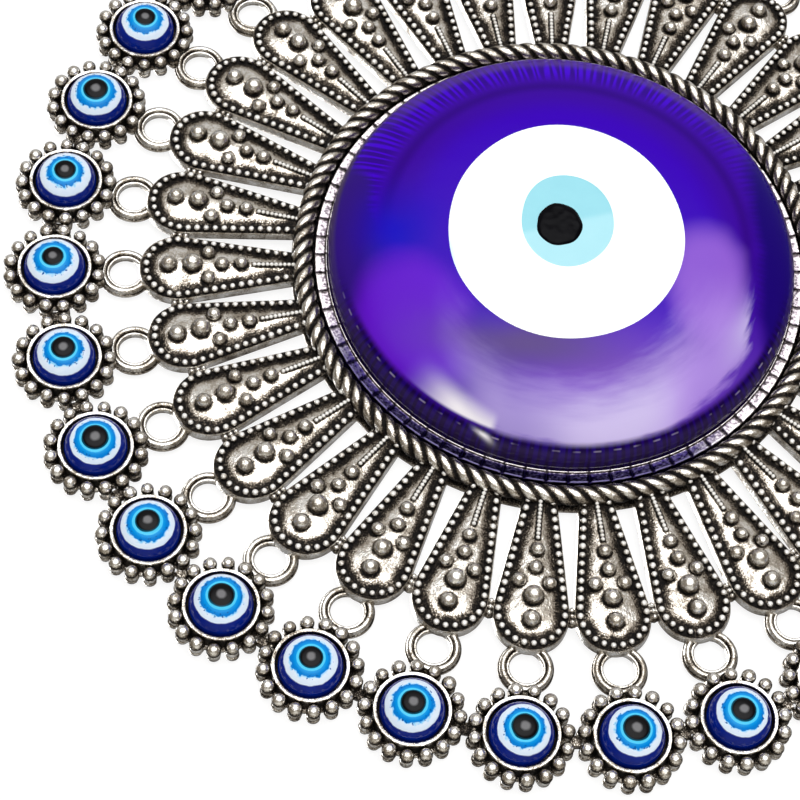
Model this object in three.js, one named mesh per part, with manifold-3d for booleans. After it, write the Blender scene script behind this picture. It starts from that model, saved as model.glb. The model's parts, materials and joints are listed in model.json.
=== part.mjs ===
// Evil eye wall ornament: a large glass eye in a rope-edged bezel, set in the middle of a cast
// metal rosette of 31 crowned petals. Each petal carries a small ring, and each ring a round cup
// with its own small eye cabochon. The rosette hangs on a wire ring through a lug at the top.
//
// Millimetres, +Z up, the front facing -Y. The origin is the centre of the flat back, which
// lies against the wall. Shapes are drawn flat, in a face frame whose x runs to the right, y up
// and z out of the wall towards the viewer. The last step stands that frame upright.
import * as THREE from "three";
import { mergeVertices } from "three/addons/utils/BufferGeometryUtils.js";
import Module from "manifold-3d";

const wasm = await Module();
wasm.setup();

// ---- driving dimensions ----
const PETAL_COUNT = 31;
const STEP_ANGLE = (2 * Math.PI) / PETAL_COUNT;
const TOP_ANGLE = Math.PI / 2;
const CLEARANCE = 0.1; // between pieces that touch on the real object
const BOND = 0.4; // depth that two regions of one casting run into each other

const CUP = {
  circle: 80, // radius of the circle of cup centres
  flange: 7.9,
  flangeTop: 1.9,
  bezelOuter: 5.8,
  bezelInner: 5.2,
  rimTop: 3.2,
  floor: 1.7,
  sides: 10,
};
const RING = { centre: 69, hole: 2.45, outer: 4.2, back: 0.2, front: 1.6, sides: 8 };
const PETAL = {
  root: 42.8, // where the petal leaves the hub, under the rope
  rootHalfWidth: 2.8,
  bulb: 61.1, // centre of the round end
  bulbRadius: 5.7,
  back: 0.7,
  front: 2.4, // of the flat border
  border: 1.4,
  crownRise: 0.9,
  crownSlope: 0.9, // width over which the crown rises from the border
  crownFoot: 0.2, // depth that the crown runs into the petal's plate
  arcSegments: 3,
};
const HUB = { inner: 34, outer: 43.3, front: 1 };
const PETAL_LINK = { radius: 60.8, width: 1.8, length: 2.6, back: 0.9, front: 2.1 };
const CUP_LINK = { radius: 80, width: 1.6, length: 2.4, back: 0.4, front: 1.7 };

const GLASS = {
  back: 2.5,
  radius: 37.2,
  edge: 5.3, // height where the side wall turns into the dome
  domeRise: 7.8,
  shoulder: 2.3, // exponent of the dome, 2 being an ellipse
  sides: 36,
  steps: 7,
};
// The layers fused one into the next, each a little off centre as hand-made glass is.
const WHITE = { radius: 19.1, back: 9.2, x: -0.2, y: 0.4, sides: 32 };
const IRIS = { radius: 8.6, back: 11, x: -0.1, y: 1.7, sides: 24 };
const PUPIL = { radius: 3.8, back: 12, x: -1.4, y: 0.8, sides: 16, proud: 0.4 };
const BACK_PLATE = { radius: HUB.inner - 0.3, front: 1.3 };
const PAD = { radius: 33, back: BACK_PLATE.front + CLEARANCE, front: GLASS.back - CLEARANCE };
const ROPE = { circle: 41.1, radius: 1.6, height: 2.75 };
const COLLAR = {
  ledge: 34.6, // inner radius of the ledge that the glass rests on
  ledgeTop: GLASS.back - CLEARANCE,
  inner: GLASS.radius + 0.2,
  outer: 39.1,
  top: 3.3,
  seatBack: HUB.front + CLEARANCE,
  seatFront: 2.1,
  seatOuter: 42.1,
};
const CABOCHON = { radius: 4.8, back: CUP.floor + CLEARANCE, edge: 2.8, top: 6.5, sides: 10 };

const LUG = { width: 2, reach: 5.4, hole: 1.35, outer: 2.7, back: 0.2 };
const HANGER = { circle: 8.5, wire: 0.9, gapAngle: 0.05, sides: 4, steps: 28 };

// ---- materials ----
const SILVER = new THREE.MeshStandardMaterial({ color: 0x9b968c, roughness: 0.35, metalness: 1 });
const WIRE = new THREE.MeshStandardMaterial({ color: 0xb8b4ab, roughness: 0.25, metalness: 1 });
const PLATE = new THREE.MeshStandardMaterial({ color: 0x8a867e, roughness: 0.5, metalness: 1 });
const COBALT = new THREE.MeshStandardMaterial({ color: 0x2205a8, roughness: 0.05, metalness: 0 });
const OPAL = new THREE.MeshStandardMaterial({ color: 0xfafcfc, roughness: 0.05, metalness: 0 });
const AQUA = new THREE.MeshStandardMaterial({ color: 0xa5ecf7, roughness: 0.05, metalness: 0 });
const BLACK = new THREE.MeshStandardMaterial({ color: 0x060608, roughness: 0.08, metalness: 0 });
const FOAM = new THREE.MeshStandardMaterial({ color: 0xe6e2d8, roughness: 0.9, metalness: 0 });
const RESIN = new THREE.MeshStandardMaterial({ color: 0x0a1fa8, roughness: 0.1, metalness: 0 });

// ---- solids ----
function solidOf(geometry) {
  const bare = geometry.index ? geometry.toNonIndexed() : geometry.clone();
  bare.deleteAttribute("normal");
  bare.deleteAttribute("uv");
  const merged = mergeVertices(bare, 1e-4);
  return new wasm.Manifold(
    new wasm.Mesh({
      numProp: 3,
      vertProperties: merged.attributes.position.array,
      triVerts: new Uint32Array(merged.index.array),
    }),
  );
}

function geometryOf(solid) {
  const mesh = solid.getMesh();
  const points = new Float32Array(mesh.numVert * 3);
  for (let i = 0; i < mesh.numVert; i++) {
    points.set(mesh.vertProperties.subarray(i * mesh.numProp, i * mesh.numProp + 3), i * 3);
  }
  return new THREE.BufferGeometry()
    .setAttribute("position", new THREE.BufferAttribute(points, 3))
    .setIndex(new THREE.BufferAttribute(mesh.triVerts, 1));
}

// A solid of revolution about the face's z axis, from [radius, height] pairs that run round the
// section anticlockwise, with the axis on the left.
function turned(profile, sides, startAngle = 0) {
  const points = profile.map(([radius, height]) => new THREE.Vector2(radius, height));
  return new THREE.LatheGeometry(points, sides).rotateX(Math.PI / 2).rotateZ(startAngle);
}

function closedTurned(profile, sides, startAngle = 0) {
  return turned([...profile, profile[0]], sides, startAngle);
}

function slab(shape, back, front) {
  const options = { depth: front - back, bevelEnabled: false, curveSegments: PETAL.arcSegments };
  return new THREE.ExtrudeGeometry(shape, options).translate(0, 0, back);
}

function block(width, length, back, front, radius) {
  const size = new THREE.BoxGeometry(width, length, front - back);
  return size.translate(0, radius, (front + back) / 2);
}

// Height of the glass surface at a distance from its centre.
function domeHeight(radius) {
  const share = Math.min(radius / GLASS.radius, 1);
  return GLASS.edge + GLASS.domeRise * (1 - share ** GLASS.shoulder) ** (1 / GLASS.shoulder);
}

// ---- the cast rosette ----
// A petal's outline: straight sides that leave the round end as tangents and narrow to the root.
function petalShape(inset) {
  const radius = PETAL.bulbRadius - inset;
  const rootHalf = PETAL.rootHalfWidth - inset;
  const rootY = PETAL.root + inset / 2;
  const distance = PETAL.bulb - rootY;
  const towardsRoot = Math.atan2(distance, rootHalf);
  const tangent = Math.acos(radius / Math.hypot(distance, rootHalf)) - towardsRoot;
  const shape = new THREE.Shape();
  shape.moveTo(rootHalf, rootY);
  shape.absarc(0, PETAL.bulb, radius, tangent, Math.PI - tangent, false);
  shape.lineTo(-rootHalf, rootY);
  shape.closePath();
  return shape;
}

// A flat plate with a crown on it, whose sloping edge leaves a flat border all round.
function petalSolid() {
  const plate = solidOf(slab(petalShape(0), PETAL.back, PETAL.front));
  const crown = new THREE.ExtrudeGeometry(petalShape(PETAL.border + PETAL.crownSlope), {
    depth: PETAL.crownFoot,
    curveSegments: PETAL.arcSegments,
    bevelSegments: 1,
    bevelThickness: PETAL.crownRise,
    bevelSize: PETAL.crownSlope,
  }).translate(0, 0, PETAL.front - PETAL.crownFoot);
  return plate.add(solidOf(crown));
}

function ringSolid() {
  const crown = (RING.hole + RING.outer) / 2;
  const profile = [
    [RING.hole, RING.back],
    [RING.outer, RING.back],
    [crown, RING.front],
  ];
  return solidOf(closedTurned(profile, RING.sides).translate(0, RING.centre, 0));
}

function cupSolid() {
  const profile = [
    [0, 0],
    [CUP.flange, 0],
    [CUP.flange, CUP.flangeTop],
    [CUP.bezelOuter, CUP.rimTop],
    [CUP.bezelInner, CUP.rimTop],
    [CUP.bezelInner, CUP.floor],
    [0, CUP.floor],
  ];
  const quarterStep = Math.PI / CUP.sides;
  return solidOf(turned(profile, CUP.sides, quarterStep).translate(0, CUP.circle, 0));
}

function linkSolid(link) {
  const shape = block(link.width, link.length, link.back, link.front, link.radius);
  return solidOf(shape.rotateZ(STEP_ANGLE / 2));
}

// A tab that stands out of the top cup, with its hole running from side to side.
function lugSolid() {
  const eyeY = CUP.circle + CUP.flange + LUG.reach - LUG.outer;
  const outline = new THREE.Shape();
  outline.moveTo(CUP.circle + CUP.flange - BOND, LUG.back);
  outline.lineTo(eyeY, LUG.back);
  outline.absarc(eyeY, LUG.back + LUG.outer, LUG.outer, -Math.PI / 2, Math.PI / 2, false);
  outline.lineTo(CUP.circle + CUP.flange - BOND, CUP.flangeTop);
  outline.closePath();
  const hole = new THREE.Path();
  hole.absarc(eyeY, LUG.back + LUG.outer, LUG.hole, 0, 2 * Math.PI, true);
  outline.holes.push(hole);
  const options = { depth: LUG.width, bevelEnabled: false, curveSegments: 4 };
  const tab = new THREE.ExtrudeGeometry(outline, options).translate(0, 0, -LUG.width / 2);
  // The outline's (x, y) is (up the face, out of the wall), and its depth runs side to side.
  const axes = new THREE.Matrix4().makeBasis(
    new THREE.Vector3(0, 1, 0),
    new THREE.Vector3(0, 0, 1),
    new THREE.Vector3(1, 0, 0),
  );
  return solidOf(tab.applyMatrix4(axes));
}

function frameCasting() {
  const hub = closedTurned(
    [
      [HUB.inner, 0],
      [HUB.outer, 0],
      [HUB.outer, HUB.front],
      [HUB.inner, HUB.front],
    ],
    2 * PETAL_COUNT,
  );
  const unit = petalSolid()
    .add(ringSolid())
    .add(cupSolid())
    .add(linkSolid(PETAL_LINK))
    .add(linkSolid(CUP_LINK));
  const unitGeometry = geometryOf(unit);
  let casting = solidOf(hub).add(lugSolid());
  for (let i = 0; i < PETAL_COUNT; i++) {
    casting = casting.add(solidOf(unitGeometry.clone().rotateZ(i * STEP_ANGLE)));
  }
  return geometryOf(casting.asOriginal().simplify(0.002));
}

// ---- the bezel that holds the glass ----
function ropeBezel() {
  const seat = [
    [COLLAR.ledge, COLLAR.seatBack],
    [COLLAR.seatOuter, COLLAR.seatBack],
    [COLLAR.seatOuter, COLLAR.seatFront],
    [COLLAR.outer, COLLAR.seatFront],
    [COLLAR.outer, COLLAR.top],
    [COLLAR.inner, COLLAR.top],
    [COLLAR.inner, COLLAR.ledgeTop],
    [COLLAR.ledge, COLLAR.ledgeTop],
  ];
  const rope = new THREE.TorusGeometry(ROPE.circle, ROPE.radius, 6, 2 * PETAL_COUNT);
  const ring = solidOf(closedTurned(seat, 2 * PETAL_COUNT));
  return geometryOf(ring.add(solidOf(rope.translate(0, 0, ROPE.height))));
}

// ---- the layered glass eye ----
function domeSolid() {
  const dome = Array.from({ length: GLASS.steps + 1 }, (_, i) => {
    const radius = GLASS.radius * (1 - i / GLASS.steps);
    return [radius, domeHeight(radius)];
  });
  return solidOf(turned([[0, GLASS.back], [GLASS.radius, GLASS.back], ...dome], GLASS.sides));
}

// An upright cylinder from a layer's back to well above the dome.
function column(layer, back, growth = 0) {
  const height = GLASS.edge + GLASS.domeRise + 2 - back;
  const radius = layer.radius + growth;
  const shape = new THREE.CylinderGeometry(radius, radius, height, layer.sides).rotateX(Math.PI / 2);
  return solidOf(shape.translate(layer.x, layer.y, back + height / 2));
}

function pocket(layer) {
  return column(layer, layer.back, CLEARANCE);
}

// A layer whose front is the dome's own surface, with a pocket for the layer that sits in it.
function inlay(layer, next) {
  const body = column(layer, layer.back + CLEARANCE).intersect(domeSolid());
  return geometryOf(body.subtract(pocket(next)));
}

function glassBody() {
  return geometryOf(domeSolid().subtract(pocket(WHITE)));
}

function pupilDot() {
  const top = GLASS.edge + GLASS.domeRise + PUPIL.proud;
  const profile = [
    [0, PUPIL.back + CLEARANCE],
    [PUPIL.radius, PUPIL.back + CLEARANCE],
    [PUPIL.radius, domeHeight(PUPIL.radius)],
    [PUPIL.radius * 0.6, top - PUPIL.proud / 3],
    [0, top],
  ];
  return turned(profile, PUPIL.sides).translate(PUPIL.x, PUPIL.y, 0);
}

function disc(radius, back, front, sides) {
  const height = front - back;
  const flat = new THREE.CylinderGeometry(radius, radius, height, sides).rotateX(Math.PI / 2);
  return flat.translate(0, 0, back + height / 2);
}

// ---- the small eyes ----
function cabochon() {
  const rise = CABOCHON.top - CABOCHON.edge;
  const profile = [
    [0, CABOCHON.back],
    [CABOCHON.radius, CABOCHON.back],
    [CABOCHON.radius, CABOCHON.edge],
    [CABOCHON.radius * Math.cos(Math.PI / 4), CABOCHON.edge + rise * Math.sin(Math.PI / 4)],
    [0, CABOCHON.top],
  ];
  return turned(profile, CABOCHON.sides);
}

// ---- the wire ring the ornament hangs by ----
class OpenCircle extends THREE.Curve {
  getPoint(t, target = new THREE.Vector3()) {
    const angle = TOP_ANGLE + HANGER.gapAngle / 2 + t * (2 * Math.PI - HANGER.gapAngle);
    return target.set(HANGER.circle * Math.cos(angle), HANGER.circle * Math.sin(angle), 0);
  }
}

function hangingRing() {
  const section = new THREE.Shape().absarc(0, 0, HANGER.wire, 0, 2 * Math.PI, false);
  return new THREE.ExtrudeGeometry(section, {
    steps: HANGER.steps,
    curveSegments: HANGER.sides,
    extrudePath: new OpenCircle(),
  });
}

// ---- assembly ----
const face = new THREE.Group();
face.rotation.x = Math.PI / 2; // stands the face frame upright

function place(name, geometry, material, x = 0, y = 0, z = 0) {
  const mesh = new THREE.Mesh(geometry, material);
  mesh.name = name;
  mesh.position.set(x, y, z);
  face.add(mesh);
  return mesh;
}

place("frame_casting", frameCasting(), SILVER);
place("rope_bezel", ropeBezel(), SILVER);
place("back_plate", disc(BACK_PLATE.radius, 0, BACK_PLATE.front, 36), PLATE);
place("adhesive_pad", disc(PAD.radius, PAD.back, PAD.front, 28), FOAM);
place("glass_body", glassBody(), COBALT);
place("glass_white_layer", inlay(WHITE, IRIS), OPAL);
place("glass_iris_layer", inlay(IRIS, PUPIL), AQUA);
place("glass_pupil_dot", pupilDot(), BLACK);

for (let i = 0; i < PETAL_COUNT; i++) {
  const angle = TOP_ANGLE + i * STEP_ANGLE;
  const name = `eye_cabochon_${String(i + 1).padStart(2, "0")}`;
  const x = CUP.circle * Math.cos(angle);
  const y = CUP.circle * Math.sin(angle);
  place(name, cabochon(), RESIN, x, y).rotation.z = angle;
}

const lugEyeY = CUP.circle + CUP.flange + LUG.reach - LUG.outer;
place("hanging_ring", hangingRing(), WIRE, 0, lugEyeY + HANGER.circle, LUG.back + LUG.outer);

const ornament = new THREE.Group();
ornament.add(face);

export default ornament;
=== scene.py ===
import json
import math

import bpy
import numpy as np
from mathutils import Matrix, Vector


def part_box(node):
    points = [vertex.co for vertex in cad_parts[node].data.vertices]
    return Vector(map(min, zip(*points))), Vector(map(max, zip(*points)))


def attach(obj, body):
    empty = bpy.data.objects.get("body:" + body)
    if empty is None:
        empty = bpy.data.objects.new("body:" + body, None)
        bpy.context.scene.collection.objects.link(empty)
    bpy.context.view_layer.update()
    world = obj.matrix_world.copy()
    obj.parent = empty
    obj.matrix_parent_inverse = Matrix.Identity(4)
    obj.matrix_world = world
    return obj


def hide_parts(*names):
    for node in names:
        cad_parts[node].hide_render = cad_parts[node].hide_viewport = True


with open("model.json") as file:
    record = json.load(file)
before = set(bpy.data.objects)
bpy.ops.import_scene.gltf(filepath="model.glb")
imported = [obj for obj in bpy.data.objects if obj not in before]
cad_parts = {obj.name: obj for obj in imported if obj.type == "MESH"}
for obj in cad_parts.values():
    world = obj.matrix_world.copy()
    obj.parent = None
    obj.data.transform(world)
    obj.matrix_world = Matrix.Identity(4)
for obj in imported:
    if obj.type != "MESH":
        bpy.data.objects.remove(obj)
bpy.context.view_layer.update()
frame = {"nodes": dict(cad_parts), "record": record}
scene = bpy.context.scene

MM = 0.001
TAU = 2 * math.pi
ORNAMENT = "ornament"
HANGING_RING = "hanging_ring"


# ---- sizes read from the frame ----
def face_box(node):
    """Lowest and highest corner of a CAD node in the face frame, in millimetres."""
    low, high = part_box(node)
    return (
        np.array([low.x, low.z, -high.y]) / MM,
        np.array([high.x, high.z, -low.y]) / MM,
    )


def node_radius(node):
    low, high = face_box(node)
    return (high[0] - low[0]) / 2


EYES = sorted(n for n in frame["nodes"] if n.startswith("eye_cabochon_"))
COUNT = len(EYES)
STEP = TAU / COUNT
EYE_LOW, EYE_HIGH = face_box(EYES[0])
CUP_CIRCLE = (EYE_LOW[1] + EYE_HIGH[1]) / 2
EYE_RISE = 3.3  # of a small eye over its cup's rim
CUP_RIM = EYE_HIGH[2] - EYE_RISE
GLASS_RADIUS = node_radius("glass_body")
GLASS_BACK = face_box("glass_body")[0][2]
PUPIL_DOT_RISE = 0.4  # of the black dot over the glass
DOME_TOP = face_box("glass_pupil_dot")[1][2] - PUPIL_DOT_RISE
DOME_EDGE = CUP_RIM + 2.1  # height where the glass turns into its dome
DOME_SHOULDER = 2.3  # 2 is an ellipse, more has a flatter top and a fuller shoulder
ROPE_OUTER = node_radius("rope_bezel")
NOTCHES = 72  # cut round the strip between the rope and the glass
HINGE = Vector(frame["record"]["behaviour"]["joints"][0]["pos_m"]) / MM


def smoothstep(low, high, value):
    """0 up to low, 1 from high on, smooth in between."""
    share = np.clip((value - low) / (high - low), 0, 1)
    return share * share * (3 - 2 * share)


# ---- mesh building ----
def xyz(x, y, z):
    """Points from coordinates of any shapes that fit together."""
    return np.stack(np.broadcast_arrays(x, y, z), axis=-1)


def to_row(points):
    """Face frame, millimetres, to row frame, metres."""
    x, y, z = np.asarray(points, float).T
    return xyz(x, -z, y) * MM


class Surface:
    """Patches of one piece: points in the face frame, faces, and how worn bright each point is."""

    def __init__(self):
        self.points, self.wear, self.faces, self.count = [], [], [], 0

    def add(self, points, wear):
        self.points.append(points)
        self.wear.append(wear)
        self.count += len(points)

    def cap(self, ring, sides, point, wear, up=True):
        """A fan from the ring that starts at the given index to one more point."""
        around = [(ring + c, ring + (c + 1) % sides) for c in range(sides)]
        self.faces += [(a, b, self.count) if up else (b, a, self.count) for a, b in around]
        self.add(np.array([point], float), np.array([wear], float))

    def grid(self, points, wear, around=False):
        """A sheet of points[row][column]. around joins the last column to the first."""
        rows, columns = points.shape[:2]
        for r in range(rows - 1):
            low = self.count + r * columns
            high = low + columns
            for c in range(columns if around else columns - 1):
                beside = (c + 1) % columns
                self.faces.append((low + c, low + beside, high + beside, high + c))
        self.add(points.reshape(-1, 3), np.broadcast_to(wear, (rows, columns)).reshape(-1))

    def revolve(self, profile, sides, centre=(0, 0), start=0.0, scale=None):
        """Turns [radius, height, wear] points about an upright axis at centre, bottom to top."""
        profile = np.asarray(profile, float)
        angles = start + np.arange(sides) * TAU / sides
        radii = profile[:, :1] * (1 if scale is None else scale(angles))
        x = centre[0] + radii * np.cos(angles)
        y = centre[1] + radii * np.sin(angles)
        points = xyz(x, y, profile[:, 1:2])
        first = 1 if profile[0, 0] == 0 else 0
        last = len(profile) - (1 if profile[-1, 0] == 0 else 0)
        base = self.count
        self.grid(points[first:last], profile[first:last, 2:3], around=True)
        if first:
            self.cap(base, sides, (*centre, profile[0, 1]), profile[0, 2], up=False)
        if last < len(profile):
            top = base + (last - first - 1) * sides
            self.cap(top, sides, (*centre, profile[-1, 1]), profile[-1, 2])

    def turn(self, angle, since):
        """Turns the patches added since the given patch about the face's centre."""
        c, s = math.cos(angle), math.sin(angle)
        for i in range(since, len(self.points)):
            x, y, z = self.points[i].T
            self.points[i] = xyz(c * x - s * y, s * x + c * y, z)

    def mesh(self, name, material, sharp=45, extra=None):
        data = bpy.data.meshes.new(name)
        points = to_row(np.concatenate(self.points))
        data.from_pydata(points.tolist(), [], self.faces)
        wear = data.attributes.new("wear", "FLOAT", "POINT")
        wear.data.foreach_set("value", np.concatenate(self.wear).astype(np.float32))
        for key, values in (extra or {}).items():
            layer = data.attributes.new(key, "FLOAT", "POINT")
            layer.data.foreach_set("value", np.asarray(values, np.float32))
        data.polygons.foreach_set("use_smooth", [True] * len(data.polygons))
        data.set_sharp_from_angle(angle=math.radians(sharp))
        data.materials.append(material)
        data.update()
        return data


def piece(name, data, body=ORNAMENT, angle=0.0, place=(0, 0, 0), stands_for=()):
    """A visible piece. angle turns it anticlockwise about the face's centre, seen from the front."""
    obj = bpy.data.objects.new(name, data)
    scene.collection.objects.link(obj)
    obj.rotation_euler = (0, -angle, 0)
    obj.location = to_row(place)
    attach(obj, body)
    if stands_for:
        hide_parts(*stands_for)


# ---- node helpers ----
class Nodes:
    """Short calls for building a material's node tree."""

    def __init__(self, name, owner=None):
        self.material = owner or bpy.data.materials.new(name)
        self.material.use_nodes = True
        self.tree = self.material.node_tree
        self.shader = self.tree.nodes.get("Principled BSDF")
        self.output = self.tree.nodes.get("Material Output")

    def new(self, kind, **settings):
        node = self.tree.nodes.new(kind)
        for key, value in settings.items():
            setattr(node, key, value)
        return node

    def put(self, socket, value):
        if isinstance(value, bpy.types.NodeSocket):
            self.tree.links.new(value, socket)
        elif hasattr(socket, "default_value") and isinstance(value, (tuple, list)):
            size = len(socket.default_value)
            socket.default_value = tuple(value)[:size] + (1.0,) * (size - len(value))
        else:
            socket.default_value = value

    def math(self, operation, a, b=0.0, clamp=False):
        node = self.new("ShaderNodeMath", operation=operation, use_clamp=clamp)
        self.put(node.inputs[0], a)
        self.put(node.inputs[1], b)
        return node.outputs[0]

    def mix(self, share, a, b):
        node = self.new("ShaderNodeMix", data_type="RGBA")
        self.put(node.inputs["Factor"], share)
        self.put(node.inputs[6], a)
        self.put(node.inputs[7], b)
        return node.outputs[2]

    def remap(self, value, low, high, to_low=0.0, to_high=1.0, smooth=True):
        node = self.new("ShaderNodeMapRange")
        node.interpolation_type = "SMOOTHSTEP" if smooth else "LINEAR"
        for socket, amount in zip(node.inputs, (value, low, high, to_low, to_high)):
            self.put(socket, amount)
        return node.outputs[0]

    def noise(self, scale, detail=2.0, vector=None, roughness=0.5):
        node = self.new("ShaderNodeTexNoise")
        node.inputs["Scale"].default_value = scale
        node.inputs["Detail"].default_value = detail
        node.inputs["Roughness"].default_value = roughness
        self.put(node.inputs["Vector"], self.place() if vector is None else vector)
        return node.outputs["Fac"]

    def in_mm(self, vector):
        scaled = self.new("ShaderNodeVectorMath", operation="SCALE")
        self.put(scaled.inputs[0], vector)
        scaled.inputs["Scale"].default_value = 1 / MM
        return scaled.outputs[0]

    def place(self):
        """Row-frame position in millimetres."""
        return self.in_mm(self.new("ShaderNodeNewGeometry").outputs["Position"])

    def local(self):
        """Position in the piece's own frame, in millimetres."""
        return self.in_mm(self.new("ShaderNodeTexCoord").outputs["Object"])

    def attribute(self, name):
        node = self.new("ShaderNodeAttribute", attribute_name=name)
        return node.outputs["Fac"]

    def ramp(self, value, stops):
        node = self.new("ShaderNodeValToRGB")
        elements = node.color_ramp.elements
        while len(elements) < len(stops):
            elements.new(0.5)
        for element, (position, colour) in zip(elements, stops):
            element.position = position
            element.color = (*colour, 1.0)
        self.put(node.inputs[0], value)
        return node.outputs[0]

    def plus(self, a, b, clamp=False):
        return self.math("ADD", a, b, clamp)

    def minus(self, a, b):
        return self.math("SUBTRACT", a, b)

    def times(self, *factors):
        product = factors[0]
        for factor in factors[1:]:
            product = self.math("MULTIPLY", product, factor)
        return product

    def centred(self, value, span):
        """Turns a 0 to 1 value into one that swings about 0, with the given span."""
        return self.times(self.minus(value, 0.5), span)

    def pair(self, x, y):
        node = self.new("ShaderNodeCombineXYZ")
        self.put(node.inputs[0], x)
        self.put(node.inputs[1], y)
        return node.outputs[0]

    def bump(self, height, distance, strength=1.0):
        node = self.new("ShaderNodeBump")
        node.inputs["Distance"].default_value = distance * MM
        node.inputs["Strength"].default_value = strength
        self.put(node.inputs["Height"], height)
        return node.outputs[0]

    def finish(self, **inputs):
        for key, value in inputs.items():
            self.put(self.shader.inputs[key.replace("_", " ")], value)
        return self.material


# ---- materials ----
BLACKENED = (0.006, 0.005, 0.005)


def antique_silver():
    """Silver plate over a casting: blackened in the hollows, brown on the flanks, bright on top. The
    brightest beads turn matt white, a painted highlight.
    """
    n = Nodes("antique_silver")
    wear = n.attribute("wear")
    grain = n.noise(4.6, 3.0, roughness=0.65)
    speckle = n.centred(grain, n.remap(wear, 0.45, 0.8, 2.3, 1.4))
    clouds = n.centred(n.noise(0.45, 2.0), 1.1)
    level = n.plus(n.plus(wear, speckle), clouds, clamp=True)
    colour = n.ramp(
        level,
        [
            (0.0, BLACKENED),
            (0.28, (0.035, 0.028, 0.022)),
            (0.5, (0.2, 0.165, 0.13)),
            (0.7, (0.58, 0.53, 0.455)),
            (0.95, (1.0, 0.99, 0.97)),
        ],
    )
    # Past a wear of 0.95 the metal turns matt white, so the rim and stem beads show as white dots: a
    # painted highlight.
    matt_white_highlight = n.remap(wear, 0.95, 1.1, 1.0, 0.25)
    return n.finish(
        Base_Color=colour,
        Metallic=n.times(n.remap(level, 0.05, 0.35, 0.4, 1.0), matt_white_highlight),
        Roughness=n.remap(level, 0.1, 0.9, 0.6, 0.2),
        Specular_IOR_Level=0.15,
        Normal=n.bump(n.plus(grain, n.times(n.noise(1.6, 2.0), 2.0)), 0.045, 0.8),
    )


def polished_strip():
    """The smooth strip round the glass. Low down, its panels mirror the dark glass."""
    n = Nodes("polished_strip")
    face = Face(n)
    wear = n.attribute("wear")
    grain = n.noise(2.2, 3.0)
    below = n.times(n.remap(face.angle, -2.95, -2.6), n.remap(face.angle, -0.75, -1.1))
    mirrored = n.times(below, n.remap(face.radius, 1.01, 1.015), 0.93)
    colour = n.ramp(
        n.plus(wear, n.centred(grain, 1.7), clamp=True),
        [
            (0.0, BLACKENED),
            (0.3, (0.12, 0.1, 0.12)),
            (0.6, (0.52, 0.46, 0.5)),
            (0.95, (0.96, 0.92, 0.94)),
        ],
    )
    return n.finish(
        Base_Color=n.mix(mirrored, colour, (0.014, 0.007, 0.08)),
        Metallic=n.remap(wear, 0.02, 0.2, 0.5, 1.0),
        Roughness=n.remap(grain, 0.3, 0.7, 0.1, 0.24),
        Normal=n.bump(grain, 0.05, 0.7),
    )


def wire_steel():
    n = Nodes("wire_steel")
    grain = n.noise(4.0, 3.0, vector=n.local())
    colour = n.mix(grain, (0.42, 0.4, 0.36), (0.78, 0.77, 0.74))
    return n.finish(
        Base_Color=colour,
        Metallic=1.0,
        Roughness=n.remap(grain, 0.3, 0.7, 0.18, 0.4),
        Normal=n.bump(grain, 0.02, 0.6),
    )


def stamped_plate():
    n = Nodes("stamped_plate")
    grain = n.noise(3.0, 4.0, roughness=0.7)
    cloud = n.noise(0.12, 2.0)
    colour = n.mix(cloud, (0.2, 0.19, 0.17), (0.46, 0.45, 0.42))
    return n.finish(
        Base_Color=n.mix(grain, colour, (0.5, 0.48, 0.45)),
        Metallic=1.0,
        Roughness=n.remap(grain, 0.3, 0.7, 0.32, 0.55),
        Normal=n.bump(grain, 0.03, 0.5),
    )


def pad_foam():
    n = Nodes("pad_foam")
    cells = n.noise(4.0, 3.0)
    return n.finish(
        Base_Color=n.mix(cells, (0.62, 0.58, 0.5), (0.82, 0.79, 0.73)),
        Roughness=0.9,
        Normal=n.bump(cells, 0.1, 0.7),
    )


class Face:
    """Sockets for a point's place on the big eye, from its centre and in units of the glass's
    radius: x to the right, y up, radius and angle."""

    def __init__(self, n, waviness=0.0):
        self.n = n
        split = n.new("ShaderNodeSeparateXYZ")
        n.put(split.inputs[0], n.place())
        self.x = n.math("DIVIDE", split.outputs["X"], GLASS_RADIUS)
        self.y = n.math("DIVIDE", split.outputs["Z"], GLASS_RADIUS)
        square = n.plus(n.times(self.x, self.x), n.times(self.y, self.y))
        self.radius = n.math("SQRT", square)
        self.angle = n.math("ARCTAN2", self.y, self.x)
        if waviness:
            warp = n.centred(n.noise(0.07, 2.0), waviness)
            self.x = n.plus(self.x, warp)
            self.y = n.plus(self.y, n.times(warp, 0.7))

    def stretch(self, centre, size, angle=0.0):
        """Squared distance from centre, in units of size, along axes turned by angle."""
        n = self.n
        dx = n.minus(self.x, centre[0])
        dy = n.minus(self.y, centre[1])
        c, s = math.cos(angle), math.sin(angle)
        u = n.plus(n.times(dx, c / size[0]), n.times(dy, s / size[0]))
        v = n.plus(n.times(dx, -s / size[1]), n.times(dy, c / size[1]))
        return n.plus(n.times(u, u), n.times(v, v))

    def blob(self, centre, size, angle=0.0, strength=1.0):
        """The strength at centre, fading to 0 over about size."""
        fade = self.n.math("POWER", math.e, self.n.times(self.stretch(centre, size, angle), -1.0))
        return self.n.times(fade, strength)

    def patch(self, centre, size, angle, soft, strength=1.0):
        """The strength inside an ellipse, with an edge as soft as the given share of its size."""
        inside = self.n.remap(self.stretch(centre, size, angle), 1.0 + soft, 1.0 - soft)
        return self.n.times(inside, strength)

    def off_circle(self, radius):
        return self.n.math("ABSOLUTE", self.n.minus(self.radius, radius))


STREAKS = 178  # in a full turn


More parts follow.
